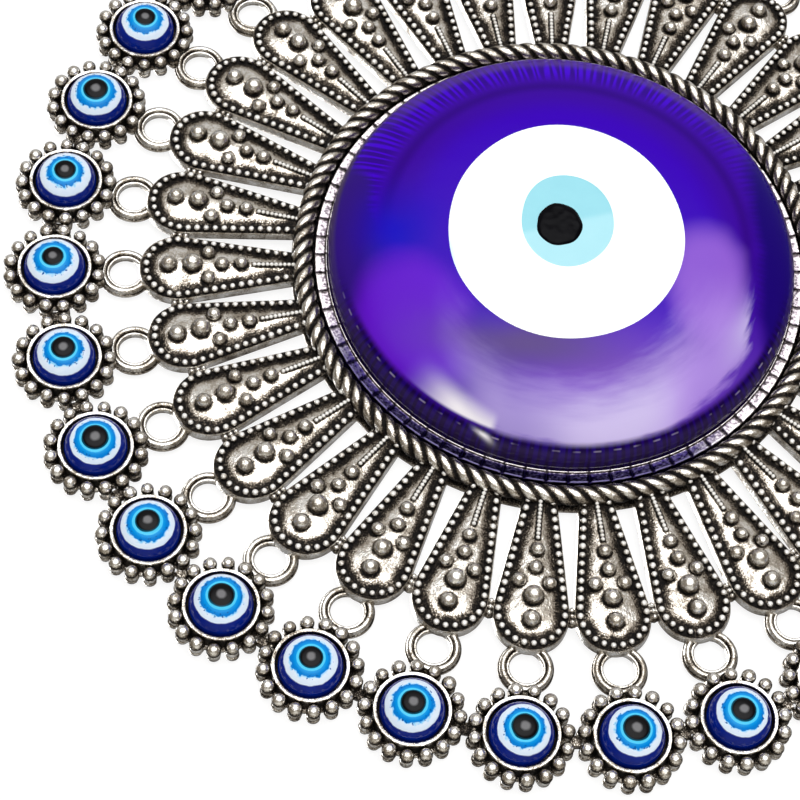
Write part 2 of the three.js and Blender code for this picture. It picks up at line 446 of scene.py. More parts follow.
def glass_streaks(n, face):
    """1 on the fine lines that run outwards all round the glass, 0 between them."""
    spokes = n.pair(n.times(face.angle, 26.0), n.times(face.radius, 3.0))
    wander = n.centred(n.noise(1.0, 1.0, vector=spokes), 9.0)
    comb = n.math("SINE", n.plus(n.times(face.angle, STREAKS), wander))
    return n.remap(comb, -0.6, 0.8)


def glass_body(n, face, streaks):
    """The blue of the glass, with the band of streaks and the dark arc of its upper half."""
    upper = n.remap(face.y, -0.45, 0.0)
    colour = n.mix(n.remap(face.radius, 0.58, 0.74), (0.04, 0.0, 0.47), (0.042, 0.002, 0.33))
    band = n.times(n.remap(face.radius, 0.79, 0.87), upper, n.remap(face.x, 0.8, 0.35, 0.35, 1.0))
    colour = n.mix(band, colour, n.mix(streaks, (0.03, 0.001, 0.25), (0.056, 0.0, 0.62)))
    arc = n.times(n.remap(face.off_circle(0.77), 0.045, 0.0), upper, 0.7)
    colour = n.mix(arc, colour, (0.026, 0.001, 0.19))
    top = n.times(n.remap(face.radius, 0.885, 0.93), n.remap(face.y, 0.5, 0.75), 0.7)
    return n.mix(top, colour, (0.08, 0.034, 0.24))


def glass_tints(n, face, colour):
    """Tints from the left round to the right: darker, bluer and more violet places in the glass, a
    painted pale glow low down and a painted shade under the white layer.
    """
    tints = [
        (face.patch((-0.9, -0.1), (0.13, 0.55), 0.1, 0.35), (0.03, 0.007, 0.2)),
        (face.blob((-0.72, -0.02), (0.13, 0.2), 0.1), (0.006, 0.001, 0.5)),
        (face.patch((-0.63, -0.42), (0.22, 0.31), 0.45, 0.6, 0.9), (0.12, 0.006, 0.6)),
        # A painted pale glow low down.
        (face.blob((0.16, -0.7), (0.54, 0.24), 0.12, 0.95), (0.2, 0.07, 0.58)),
        # The painted glow's pale end on the right.
        (face.patch((0.585, -0.2), (0.16, 0.26), -0.1, 0.75, 0.85), (0.29, 0.12, 0.66)),
        # A painted shade under the white layer.
        (face.blob((-0.18, -0.53), (0.36, 0.11), -0.1, 0.9), (0.11, 0.07, 0.22)),
        (n.remap(face.x, 0.76, 0.87), (0.01, 0.001, 0.16)),
    ]
    for share, tint in tints:
        colour = n.mix(share, colour, tint)
    return colour


def glass_crescent_reflection(n, face, colour):
    """A painted reflection low down: a pale crescent with an edge like brush strokes, and a brighter
    tip at its right end.
    """
    strokes = n.pair(n.times(face.angle, 5.0), n.times(face.radius, 34.0))
    brush = n.centred(n.noise(1.0, 3.0, vector=strokes), 0.1)
    away = n.plus(n.math("SQRT", face.stretch((0.0, -0.2), (1.0, 1.0))), brush)
    # Where the painted reflection, a pale crescent, lies.
    crescent = n.times(
        n.remap(away, 0.8, 0.745),
        n.remap(away, 0.42, 0.7),
        n.remap(face.x, -0.6, -0.3, 0.0, 0.5),
        n.remap(face.x, -0.25, 0.12, 1.0, 2.0),
        n.remap(face.x, 0.35, 0.6, 1.0, 0.75),
        n.remap(face.y, -0.12, -0.45),
    )
    # Colour of the painted reflection, more violet to the right.
    reflected_lavender = n.mix(n.remap(face.x, 0.25, 0.6), (0.58, 0.5, 0.82), (0.44, 0.27, 0.78))
    colour = n.mix(crescent, colour, reflected_lavender)
    # A brighter painted reflection at the crescent's right end.
    reflection_tip = n.times(face.blob((0.74, -0.4), (0.05, 0.2), -0.55), n.remap(away, 0.8, 0.76), 0.6)
    return n.mix(reflection_tip, colour, (0.56, 0.5, 0.78))


def glass_rim(n, face, colour, streaks):
    """The dark edge low down, and the dull line where the glass meets the metal."""
    lower = n.remap(face.y, -0.1, -0.5)
    dark = n.mix(streaks, (0.008, 0.001, 0.05), (0.012, 0.001, 0.13))
    colour = n.mix(n.times(n.remap(face.radius, 0.935, 0.965), lower), colour, dark)
    dull = n.times(n.remap(face.radius, 0.965, 0.985), n.remap(face.y, -0.3, 0.3, 0.25, 0.85))
    return n.mix(dull, colour, (0.07, 0.045, 0.11))


def glass_glints(n, face, colour):
    """The short streak low on the left, the dash beyond it, and the notches mirrored in the rim."""
    along = n.remap(face.angle, -2.42, -2.08)
    inner_edge = n.plus(n.times(face.angle, 0.177), 1.213)
    tail = n.times(
        n.remap(n.minus(face.radius, inner_edge), 0.0, 0.09),
        n.remap(face.radius, 0.951, 0.937),
        n.remap(face.angle, -1.9, -1.94),
        along,
    )
    colour = n.mix(tail, colour, n.mix(along, (0.3, 0.2, 0.6), (0.85, 0.82, 0.88)))
    dash = face.blob((-0.375, -0.918), (0.04, 0.009), -0.38)
    colour = n.mix(dash, colour, (0.9, 0.88, 0.92))
    mirrored_notches = n.times(
        n.remap(face.off_circle(0.972), 0.004, 0.001),
        n.remap(n.math("SINE", n.times(face.angle, NOTCHES)), 0.1, 0.7),
        n.remap(face.y, -0.1, -0.5),
        n.remap(n.noise(0.25, 1.0), 0.45, 0.6),
        0.5,
    )
    return n.mix(mirrored_notches, colour, (0.4, 0.34, 0.5))


def cobalt_glass():
    """Deep blue glass: streaked towards the rim and violet in places, with a painted pale glow and a
    painted crescent reflection low down.
    """
    n = Nodes("cobalt_glass")
    face = Face(n, waviness=0.16)
    streaks = glass_streaks(n, face)
    colour = glass_body(n, face, streaks)
    colour = glass_tints(n, face, colour)
    colour = glass_crescent_reflection(n, face, colour)
    colour = glass_rim(n, face, colour, streaks)
    colour = glass_glints(n, face, colour)
    return n.finish(
        Base_Color=colour,
        Roughness=0.04,
        Specular_IOR_Level=0.07,
        # A faint emission in the glass's own colour: a painted glow, as the glass is no lamp.
        Emission_Color=colour,
        Emission_Strength=0.05,
        Normal=n.bump(n.noise(0.09, 2.0), 0.2, 0.5),
    )


def opal_glass():
    n = Nodes("opal_glass")
    tinge = Face(n).blob((-0.52, -0.12), (0.035, 0.2), 0.2)
    milk = n.noise(0.15, 3.0)
    base = n.mix(milk, (0.86, 0.9, 0.92), (0.97, 0.98, 0.98))
    return n.finish(
        Base_Color=n.mix(tinge, base, (0.2, 0.55, 0.9)),
        Roughness=0.05,
        Specular_IOR_Level=0.3,
        # The white layer glows a little: painted light, as it is no lamp.
        Emission_Color=(0.95, 0.98, 1.0),
        Emission_Strength=0.22,
        Normal=n.bump(n.noise(0.3, 2.0), 0.08, 0.5),
    )


def aqua_glass():
    """Pale aqua glass in two tones, with a slanting seam between them."""
    n = Nodes("aqua_glass")
    face = Face(n)
    seam = n.minus(face.y, n.times(n.minus(face.x, 0.02), 0.3))
    deep = n.mix(n.noise(0.35, 2.0), (0.32, 0.73, 0.86), (0.36, 0.78, 0.9))
    pale = n.mix(n.noise(0.35, 2.0), (0.42, 0.81, 0.93), (0.47, 0.85, 0.96))
    return n.finish(
        Base_Color=n.mix(n.remap(seam, 0.02, 0.06), pale, deep),
        Roughness=0.05,
        Specular_IOR_Level=0.12,
        Normal=n.bump(n.noise(0.4, 2.0), 0.1, 0.5),
    )


def black_glass():
    n = Nodes("black_glass")
    lumps = n.noise(0.5, 1.0)
    return n.finish(
        Base_Color=n.mix(lumps, (0.001, 0.001, 0.002), (0.004, 0.004, 0.006)),
        Roughness=0.05,
        Specular_IOR_Level=0.05,
        Normal=n.bump(lumps, 0.5, 0.6),
    )


def eye_resin():
    """A small eye. Its ring attribute is 1 at the pupil's edge, 2 at the cyan ring's, 3 at the
    ragged blue ring's and 4 at the white ring's."""
    n = Nodes("eye_resin")
    ring = n.attribute("ring")
    ragged = n.remap(n.noise(1.35, 1.0), 0.4, 0.72, 0.0, -0.3, smooth=False)
    soft = n.centred(n.noise(0.9, 1.0), 0.2)
    body = n.mix(n.noise(0.5, 2.0), (0.0, 0.005, 0.13), (0.001, 0.018, 0.27))
    white = n.mix(n.noise(0.9, 2.0), (0.66, 0.78, 0.96), (0.76, 0.87, 0.99))
    blue = n.mix(n.remap(ring, 2.0, 3.0), (0.0, 0.3, 0.76), (0.0, 0.19, 0.62))
    cyan = (0.08, 0.6, 0.93)
    teal = (0.0, 0.055, 0.1)
    glint = n.remap(n.plus(ring, n.times(soft, 0.8)), 0.46, 0.2)
    pupil = n.mix(glint, (0.003, 0.003, 0.004), (0.16, 0.16, 0.17))
    edge = n.plus(ring, soft)
    ragged_edge = n.plus(ring, ragged)
    colour = n.mix(n.remap(edge, 3.93, 4.07), white, body)
    colour = n.mix(n.remap(ragged_edge, 3.3, 3.0), colour, (0.2, 0.62, 0.96))
    colour = n.mix(n.remap(ragged_edge, 2.97, 3.08), blue, colour)
    near_edge = n.times(n.remap(ring, 2.5, 2.7), n.remap(ring, 3.5, 3.3))
    flecks = n.times(n.remap(n.noise(2.1, 1.0), 0.63, 0.68), near_edge)
    colour = n.mix(flecks, colour, (0.0, 0.1, 0.36))
    colour = n.mix(n.remap(edge, 1.85, 2.1), cyan, colour)
    colour = n.mix(n.remap(ring, 0.98, 1.15), teal, colour)
    colour = n.mix(n.remap(ring, 0.86, 0.92), pupil, colour)
    return n.finish(
        Base_Color=colour,
        Roughness=n.remap(ring, 0.86, 0.96, 0.2, 0.07),
        Specular_IOR_Level=n.remap(ring, 0.86, 0.96, 0.12, 0.2),
        # A slight emission in the eye's own colours: a painted glow, as the eye is no lamp.
        Emission_Color=colour,
        Emission_Strength=0.12,
        Normal=n.bump(n.noise(0.8, 2.0), 0.03, 0.6),
    )


# ---- the petal unit: petal, small ring and cup, pointing up ----
PETAL_ROOT = ROPE_OUTER - 0.35  # y where the lines of rim beads start
PETAL_ROOT_HALF = 1.88  # x of their start
PETAL_BULB = CUP_CIRCLE - 19.3  # y of the centre of its round tip
PETAL_RADIUS = 5.0  # of the line of rim beads round the tip
PETAL_BACK = 0.7  # height of its back
BORDER_BACK = 0.4  # where the border starts on the back, measured out from the bead line
TROUGH = 2.3  # floor of the groove that the rim beads stand in
CROWN_EDGE = -0.8  # where the crown starts, measured out from the bead line
CROWN_FOOT = 2.42
CROWN_RISE = 1.0  # at the widest place
CROWN_HALF = PETAL_RADIUS + CROWN_EDGE
RIDGE_ROUND = 0.3  # 0 is a sharp ridge
BEAD = 0.52  # radius
BEAD_PITCH = 1.42
SMALL_GRANULE = 1.04
GRANULES = [  # x, y, radius
    (0.0, PETAL_BULB + 1.5, 1.27),
    (0.0, PETAL_BULB - 2.2, 1.46),
    (2.26, PETAL_BULB - 4.7, SMALL_GRANULE),
    (-2.26, PETAL_BULB - 4.7, SMALL_GRANULE),
    (0.0, PETAL_BULB - 6.9, SMALL_GRANULE),
    (0.0, PETAL_BULB - 9.9, SMALL_GRANULE),
]
STEM_BEADS = 10
STEM_BEAD = 0.36  # radius
STEM_TOP = PETAL_BULB - 12.0
STEM_PITCH = 0.68


def petal_line(count):
    """The line of rim beads, from the right root round to the left: evenly spaced points, their
    outward normals, and the line's length."""
    rise = PETAL_BULB - PETAL_ROOT
    reach = math.hypot(rise, PETAL_ROOT_HALF)
    tangent = math.acos(PETAL_RADIUS / reach) - math.atan2(rise, PETAL_ROOT_HALF)
    side = math.sqrt(reach**2 - PETAL_RADIUS**2)
    arc = PETAL_RADIUS * (math.pi - 2 * tangent)
    points, normals = [], []
    for s in np.linspace(0, 2 * side + arc, count):
        mirrored = s > side + arc / 2
        along = 2 * side + arc - s if mirrored else s
        if along < side:
            share = along / side
            touch_x = PETAL_RADIUS * math.cos(tangent)
            touch_y = PETAL_BULB + PETAL_RADIUS * math.sin(tangent)
            x = PETAL_ROOT_HALF + share * (touch_x - PETAL_ROOT_HALF)
            y = PETAL_ROOT + share * (touch_y - PETAL_ROOT)
            normal = (math.cos(tangent), math.sin(tangent))
        else:
            turn = tangent + (along - side) / PETAL_RADIUS
            x = PETAL_RADIUS * math.cos(turn)
            y = PETAL_BULB + PETAL_RADIUS * math.sin(turn)
            normal = (math.cos(turn), math.sin(turn))
        sign = -1 if mirrored else 1
        points.append((sign * x, y))
        normals.append((sign * normal[0], normal[1]))
    return np.array(points), np.array(normals), 2 * side + arc


LINE, LINE_NORMALS, LINE_LENGTH = petal_line(240)
CROWN_OUTLINE = LINE + CROWN_EDGE * LINE_NORMALS
CROWN_SIDE = CROWN_OUTLINE[: len(CROWN_OUTLINE) // 2]  # its right half, root to tip


def edge_distance(x, y):
    """How far a place on the crown is from the crown's outline."""
    gaps = np.stack([x, y], axis=-1)[..., None, :] - CROWN_OUTLINE
    return np.sqrt((gaps**2).sum(axis=-1)).min(axis=-1)


def crown_lift(x, y):
    """How far the crown stands over its foot: a roof with a rounded ridge, hipped at the tip."""
    half = np.where(y > PETAL_BULB, CROWN_HALF, np.interp(y, CROWN_SIDE[:, 1], CROWN_SIDE[:, 0]))
    share = np.clip(edge_distance(x, y) / half, 0, 1)
    widest = math.hypot(1, RIDGE_ROUND)
    roof = (widest - np.hypot(1 - share, RIDGE_ROUND)) / (widest - RIDGE_ROUND)
    return CROWN_RISE * (half / CROWN_HALF) ** 0.7 * roof


def crown_height(x, y):
    return CROWN_FOOT + crown_lift(np.asarray(x), np.asarray(y))


def crown_grid(rows, columns):
    """x and y of a grid that fills the crown's outline, its rows closer together at the tip."""
    tip = PETAL_BULB + CROWN_HALF
    share = np.linspace(0, 1, rows)
    y = CROWN_SIDE[0, 1] + (tip - CROWN_SIDE[0, 1]) * (1 - (1 - share) ** 1.5)
    half = np.interp(y, CROWN_SIDE[:, 1], CROWN_SIDE[:, 0])
    half[-1] = 0.01
    x = half[:, None] * np.linspace(-1, 1, columns)[None, :]
    return x, np.repeat(y[:, None], columns, axis=1)


def add_ball(surface, x, y, z, radius, sides=20, rows=7, low=-50, dark=(-0.55, 0.35), top=0.86):
    """The part of a ball above the latitude low. It brightens between two sines of latitude, from
    black below the first of dark to top above the second."""
    tilt = np.radians(np.linspace(low, 90, rows))
    profile = [
        (radius * math.cos(t) if i < rows - 1 else 0.0, z + radius * math.sin(t),
         top * smoothstep(*dark, math.sin(t)))
        for i, t in enumerate(tilt)
    ]
    surface.revolve(profile, sides, (x, y))


def crown_wear(x, y):
    """Bright over the crown, black in the seams round the granules, the stem and the border."""
    wear = 0.1 + 0.71 * smoothstep(0.0, 1.3, edge_distance(x, y))
    wear = wear * (0.3 + 0.7 * smoothstep(ROPE_OUTER, ROPE_OUTER + 2.0, y))
    for granule_x, granule_y, radius in GRANULES:
        gap = np.hypot(x - granule_x, y - granule_y) - radius
        wear = wear * (0.02 + 0.98 * smoothstep(-0.05, 0.5, gap))
    beside_stem = smoothstep(STEM_BEAD, STEM_BEAD + 0.3, np.abs(x))
    past_stem = smoothstep(STEM_TOP + 0.2, STEM_TOP + 0.8, y)
    return wear * np.clip(0.04 + beside_stem + past_stem, 0, 1)


def add_petal_border(surface):
    """The side wall, the rim and the groove, swept along the line of beads."""
    tip_share = smoothstep(0.2, 1.0, LINE_NORMALS[:, 1])
    profile = [  # distance out from the bead line, height, wear
        (BORDER_BACK, PETAL_BACK, 0.35),
        (0.75, PETAL_BACK, 0.3),
        (0.86, PETAL_BACK + 0.12, 0.5),
        (0.87, 1.25, 0.7),
        (0.84, 1.75, 0.75),
        (0.78, 2.1, 0.85),
        (0.72, 2.32, 0.85),
        (0.66, 2.38, 0.5),
        (0.58, 2.34, 0.08),
        (0.4, TROUGH, 0.0),
        (-0.45, TROUGH, 0.0),
        (-0.65, TROUGH + 0.03, 0.0),
        (CROWN_EDGE, CROWN_FOOT, 0.12),
    ]
    out, height, wear = np.array(profile).T[..., None]
    reach = out * (1 + 0.4 * tip_share * (out > 0.5))
    x = LINE[:, 0] + reach * LINE_NORMALS[:, 0]
    y = LINE[:, 1] + reach * LINE_NORMALS[:, 1]
    surface.grid(xyz(x, y, height), wear)


def add_petal_crown(surface):
    """The crown, the hollow behind it and the flat rim round that hollow."""
    x, y = crown_grid(84, 39)
    surface.grid(xyz(x, y, crown_height(x, y)), crown_wear(x, y))
    hollow = PETAL_BACK + 0.85 * crown_lift(x, y)
    surface.grid(xyz(x, y, hollow)[:, ::-1], 0.42)
    rim = np.array([CROWN_OUTLINE, LINE + BORDER_BACK * LINE_NORMALS])
    surface.grid(xyz(rim[..., 0], rim[..., 1], PETAL_BACK), 0.45)


def add_rim_beads(surface, jitter):
    beads = int(LINE_LENGTH / BEAD_PITCH)
    steps = np.arange(len(LINE))
    for i in range(beads + 1):
        at = i / beads * steps[-1]
        x = np.interp(at, steps, LINE[:, 0])
        y = np.interp(at, steps, LINE[:, 1])
        size = BEAD * (1 + 0.06 * jitter.standard_normal())
        z = TROUGH + 0.28 + 0.03 * jitter.standard_normal()
        # top over 0.95 makes the bead matt white: a painted highlight.
        add_ball(surface, x, y, z, size, sides=14, rows=7, low=-28, dark=(-0.1, 0.65), top=1.06)


def add_granules(surface, jitter):
    for x, y, radius in GRANULES:
        size = radius * (1 + 0.03 * jitter.standard_normal())
        z = crown_height(x, y) + 0.4 * size
        x = x + 0.05 * jitter.standard_normal()
        y = y + 0.05 * jitter.standard_normal()
        add_ball(surface, x, y, z, size, sides=28, rows=11, low=-35, dark=(-0.3, 0.7))


def add_stem(surface):
    for i in range(STEM_BEADS):
        y = STEM_TOP - i * STEM_PITCH
        z = crown_height(0, y) + 0.12
        # top over 0.95 makes the bead matt white: a painted highlight.
        add_ball(surface, 0, y, z, STEM_BEAD, sides=10, rows=5, low=-25, dark=(-0.3, 0.3), top=1.1)


RING_CENTRE = CUP_CIRCLE - 11.0


def add_ring(surface):
    """A flat-topped ring with a low step on its outer edge and a fine lip round its hole."""
    profile = [
        (2.52, 0.2, 0.4), (4.1, 0.2, 0.35), (4.22, 0.3, 0.6), (4.22, 0.6, 0.75),
        (4.12, 0.72, 0.35), (4.03, 0.76, 0.3), (4.01, 1.0, 0.65), (3.92, 1.3, 0.75),
        (3.74, 1.52, 0.8), (3.46, 1.6, 0.82), (3.24, 1.54, 0.78), (3.1, 1.38, 0.5),
        (3.04, 1.2, 0.1), (2.97, 1.16, 0.15), (2.88, 1.24, 0.7), (2.7, 1.27, 0.95),
        (2.56, 1.18, 0.9), (2.5, 1.02, 0.85), (2.48, 0.34, 0.6), (2.52, 0.2, 0.4),
    ]
    surface.revolve(profile, 56, (0, RING_CENTRE))


CUP_GRANULES = 16
GRANULE_CIRCLE = 6.95
GRANULE_RADIUS = 1.08
GRANULE_HEIGHT = 2.35  # of its centre
SCALLOP = 1.08  # radius of a lobe of the flange
CUP_VALLEY = 6.5  # radius of the flange between two lobes


def scalloped(angles):
    """The flange's radius: a round lobe under each granule, and a valley between two lobes."""
    pitch = TAU / CUP_GRANULES
    off = np.abs((angles - math.pi / 2) / pitch - 0.5)
    off = (off - np.round(off)) * pitch
    inside = SCALLOP**2 - (GRANULE_CIRCLE * np.sin(off)) ** 2
    lobe = GRANULE_CIRCLE * np.cos(off) + np.sqrt(np.clip(inside, 0, None))
    return np.where(inside > 0, lobe, CUP_VALLEY)


def add_cup(surface, jitter):
    centre = (0, CUP_CIRCLE)
    sides = CUP_GRANULES * 12
    reference = GRANULE_CIRCLE + SCALLOP
    flange = [
        (0, 0.25, 0.3), (0.55, 0.25, 0.3), (0.58, 0.0, 0.4), (0.985, 0.0, 0.4),
        (1.0, 0.14, 0.5), (1.0, 0.7, 0.62), (0.975, 0.85, 0.4), (0.9, 0.9, 0.08), (0.7, 0.92, 0.0),
    ]
    scaled = [(r * reference, z, w) for r, z, w in flange]
    surface.revolve(scaled, sides, centre, scale=lambda a: scalloped(a) / reference)
    rim = CUP_RIM
    bezel = [
        (5.98, 0.85, 0.0), (5.9, 1.6, 0.02), (5.84, 2.3, 0.1), (5.8, rim - 0.35, 0.4),
        (5.77, rim - 0.12, 0.75), (5.68, rim, 0.85), (5.3, rim + 0.02, 0.8), (5.2, rim - 0.06, 0.6),
        (5.16, rim - 0.3, 0.2), (5.14, 1.75, 0.0), (0, 1.75, 0.0),
    ]
    surface.revolve(bezel, 96, centre)
    post = [
        (0.98, 0.7, 0.15), (0.96, 0.95, 0.6), (0.9, 1.3, 0.75), (0.78, 1.6, 0.5),
        (0.6, 1.78, 0.02), (0.64, 1.86, 0.05),
    ]
    for k in range(CUP_GRANULES):
        angle = math.pi / 2 + (k + 0.5) * TAU / CUP_GRANULES
        reach = GRANULE_CIRCLE + 0.04 * jitter.standard_normal()
        x, y = reach * math.cos(angle), CUP_CIRCLE + reach * math.sin(angle)
        surface.revolve(post, 16, (x, y))
        size = GRANULE_RADIUS * (1 + 0.04 * jitter.standard_normal())
        add_ball(surface, x, y, GRANULE_HEIGHT, size, rows=9, low=-45, dark=(-0.1, 0.8), top=0.92)


def add_webs(surface):
    """The small bridges to the next petal and the next cup, on the clockwise side."""
    since = len(surface.points)
    bridge = [(1.3, 0.9, 0.3), (1.35, 1.4, 0.4), (1.1, 1.85, 0.4), (0.6, 2.0, 0.1), (0, 2.05, 0.05)]
    surface.revolve(bridge, 16, (0, PETAL_BULB), scale=lambda a: 0.55 + 0.6 * np.abs(np.sin(a)))
    for shift in (-0.95, 0.0, 0.95):
        add_ball(surface, 0, PETAL_BULB + shift, 2.1, 0.42, sides=10, rows=5, dark=(-0.1, 0.5))
    block = [
        (0, 0.2, 0.3), (1.2, 0.2, 0.3), (1.25, 0.35, 0.4), (1.2, 1.3, 0.35), (1.05, 1.45, 0.3),
        (0, 1.5, 0.3),
    ]
    surface.revolve(block, 4, (0, CUP_CIRCLE), start=math.pi / 4)
    surface.turn(-STEP / 2, since)


def unit_mesh(variant, material):
    """One petal with its ring, cup and bridges. Each variant has its own slight irregularities."""
    jitter = np.random.default_rng(400 + variant)
    surface = Surface()
    add_petal_border(surface)
    add_petal_crown(surface)
    add_rim_beads(surface, jitter)
    add_granules(surface, jitter)
    add_stem(surface)
    add_ring(surface)
    add_cup(surface, jitter)
    add_webs(surface)
    return surface.mesh(f"rosette_unit_{variant}", material)


VARIANTS = 3


def build_rosette(material):
    meshes = [unit_mesh(v, material) for v in range(VARIANTS)]
    for i in range(COUNT):
        name = f"rosette_unit_{i + 1:02d}"
        stands_for = ("frame_casting",) if i == 0 else ()
        piece(name, meshes[i % VARIANTS], angle=i * STEP, stands_for=stands_for)


# ---- hub, lug, rope and bezel strip ----
def build_hub(material):
    surface = Surface()
    outer = ROPE_OUTER + 0.1
    inner = node_radius("back_plate") + 0.3
    profile = [
        (inner, 0.9, 0.3), (inner, 0.15, 0.5), (inner + 0.15, 0.0, 0.6), (outer - 0.2, 0.0, 0.45),
        (outer, 0.15, 0.6), (outer, 0.8, 0.4), (outer - 0.2, 1.0, 0.2), (inner + 0.2, 1.0, 0.0),
        (inner, 0.9, 0.3),
    ]
    surface.revolve(profile, 186)
    piece("hub_ring", surface.mesh("hub_ring", material))


LUG_RADIUS = 2.03  # of the centre line round its hole
LUG_ACROSS = 0.7  # half thickness across the hole
LUG_ALONG = 1.0  # half thickness along the hole


def build_lug(material):
    """An upright loop on a tapered foot that grows out of the top cup's flange."""
    surface = Surface()
    hole_y, hole_z = HINGE.z, -HINGE.y
    turn = np.linspace(0, TAU, 41)[:-1]
    tube = np.linspace(0, TAU, 19)[:, None]
    radius = LUG_RADIUS + LUG_ACROSS * np.cos(tube)
    y = hole_y + radius * np.cos(turn)
    z = hole_z + radius * np.sin(turn)
    surface.grid(xyz(LUG_ALONG * np.sin(tube), y, z), 0.55 + 0.45 * np.cos(tube), around=True)
    foot_start = CUP_CIRCLE + GRANULE_CIRCLE
    sections = [  # y, half width, height of the middle, half depth
        (foot_start, 1.5, 0.95, 1.05),
        (foot_start + 1.1, 1.15, 1.0, 1.0),
        (hole_y - 2.3, 0.95, 1.35, 1.0),
        (hole_y - 1.75, 0.7, 1.9, 0.8),
    ]
    loop = np.linspace(0, TAU, 21)[:-1]
    y, wide, z, deep = np.array(sections).T[..., None]
    foot = xyz(wide * np.cos(loop), y, z + deep * np.sin(loop))
    surface.grid(foot[:, ::-1], 0.7, around=True)
    piece("hanging_lug", surface.mesh("hanging_lug", material))


ROPE_STRANDS = 102
ROPE_LAY = 3  # turns of each strand round the rope, in strand pitches
ROPE_TUBE = 1.6
ROPE_CENTRE = ROPE_OUTER - ROPE_TUBE
ROPE_HEIGHT = 2.75
ROPE_GROOVE = 0.62  # depth between two strands
ROPE_STEPS = 11  # points along each strand's width


def add_rope(surface):
    """Each strand is a round-backed ridge, bright along its back only, with a black seam between."""
    columns = ROPE_STRANDS * ROPE_STEPS
    along = np.arange(columns) * TAU / columns
    tube = np.linspace(0, TAU, 31)
    theta, phi = np.meshgrid(along, tube)
    lay = theta * ROPE_STRANDS / TAU + ROPE_LAY * phi / TAU
    across = 2 * (lay - np.floor(lay)) - 1
    crown = np.sqrt(1 - (0.99 * across) ** 2)
    radius = ROPE_TUBE - ROPE_GROOVE + ROPE_GROOVE * crown
    ring = ROPE_CENTRE + radius * np.cos(phi)
    points = xyz(ring * np.cos(theta), ring * np.sin(theta), ROPE_HEIGHT + radius * np.sin(phi))
    above = smoothstep(-0.35, 0.6, np.sin(phi))
    worn = 0.82 * smoothstep(0.6, 0.97, crown) * above
    surface.grid(points[::-1], worn[::-1], around=True)


def add_strip(surface):
    """The nearly flat band round the glass, cut by short notches, with a bright inner edge."""
    sides = NOTCHES * 12
    angles = np.arange(sides) * TAU / sides
    phase = np.abs(angles * NOTCHES / TAU - np.round(angles * NOTCHES / TAU))
    notch = smoothstep(0.1, 0.02, phase)
    profile = [  # radius past the glass, height, wear, depth of a notch
        (4.6, 1.1, 0.0, 0), (3.6, 1.3, 0.0, 0), (2.3, 1.6, 0.0, 0), (2.1, 2.2, 0.05, 0),
        (2.0, 2.85, 0.2, 0), (1.92, 3.05, 0.8, 0.2), (1.8, 3.12, 1.0, 0.25), (1.6, 3.1, 0.75, 0.25),
        (1.1, 3.06, 0.55, 0.25), (0.6, 3.08, 0.5, 0.25), (0.42, 3.1, 0.3, 0.15),
        (0.36, 3.12, 0.05, 0.1), (0.3, 3.25, 0.3, 0.1), (0.24, 3.4, 1.0, 0.1), (0.12, 3.44, 1.0, 0.1),
        (0.05, 3.38, 0.5, 0), (0.03, 3.15, 0.0, 0), (0.05, 1.2, 0.0, 0),
    ]
    past, height, wear, depth = np.array(profile).T[..., None]
    radius = GLASS_RADIUS + past
    points = xyz(radius * np.cos(angles), radius * np.sin(angles), height - depth * notch)
    surface.grid(points, wear * (1 - (depth > 0) * notch), around=True)


def build_bezel(rope_material, strip_material):
    rope = Surface()
    add_rope(rope)
    data = rope.mesh("rope_edge", rope_material, sharp=60)
    piece("rope_edge", data, stands_for=("rope_bezel",))
    strip = Surface()
    add_strip(strip)
    piece("bezel_strip", strip.mesh("bezel_strip", strip_material, sharp=60))


def build_back(material):
    surface = Surface()
    radius = node_radius("back_plate")
    profile = [
        (0, 0.35, 0.5), (radius - 4.2, 0.35, 0.5), (radius - 3.6, 0.2, 0.5), (radius - 3.0, 0.02, 0.5),
        (radius - 0.25, 0.0, 0.5), (radius, 0.2, 0.5), (radius, 1.1, 0.5), (radius - 0.2, 1.3, 0.5),
        (0, 1.3, 0.5),
    ]
    surface.revolve(profile, 144)
    piece("back_disc", surface.mesh("back_disc", material), stands_for=("back_plate",))


# ---- the glass eye ----
def dome_height(radius):
    """Height of the glass surface at a distance from its centre."""
    share = np.clip(radius / GLASS_RADIUS, 0, 1)
    rise = (1 - share**DOME_SHOULDER) ** (1 / DOME_SHOULDER)
    return DOME_EDGE + (DOME_TOP - DOME_EDGE) * rise


def build_glass(material):
    surface = Surface()
    edge = GLASS_RADIUS
    chamfer = 0.5
    radii = edge * np.sin(np.linspace(math.pi / 2, 0, 70))
    dome = [(r, dome_height(r), 1.0) for r in radii[:-1]]
    profile = [
        (0, GLASS_BACK, 1.0),
        (edge - chamfer, GLASS_BACK, 1.0),
        (edge, GLASS_BACK + chamfer, 1.0),
        *dome,
        (0, DOME_TOP, 1.0),
    ]
    surface.revolve(profile, 192)
    data = surface.mesh("glass_dome", material, sharp=60)
    piece("glass_dome", data, stands_for=("glass_body",))


def add_cap(surface, centre, radius, outline, lift, depth, sides=128, rows=26):
    """A layer that follows the dome, with a rolled edge and an outline that is not quite round."""
    angles = np.arange(sides) * TAU / sides
    edge = radius * outline(angles)
    share = 1 - np.linspace(0, 1, rows)[:, None] ** 1.6
    x = centre[0] + share * edge * np.cos(angles)
    y = centre[1] + share * edge * np.sin(angles)
    z = dome_height(np.hypot(x, y)) + lift * (1 - share**10)
    skirt = xyz(x[:1], y[:1], z[:1] - depth)
    surface.grid(np.concatenate([skirt, xyz(x, y, z)[:-1]]), 1.0, around=True)
    top = dome_height(math.hypot(*centre)) + lift
    surface.cap(surface.count - sides, sides, (*centre, top), 1.0)


def layer_outline(waves):
    """A radius factor made of [amplitude, waves round, phase] ripples."""
    return lambda angles: 1 + sum(a * np.cos(k * angles + p) for a, k, p in waves)


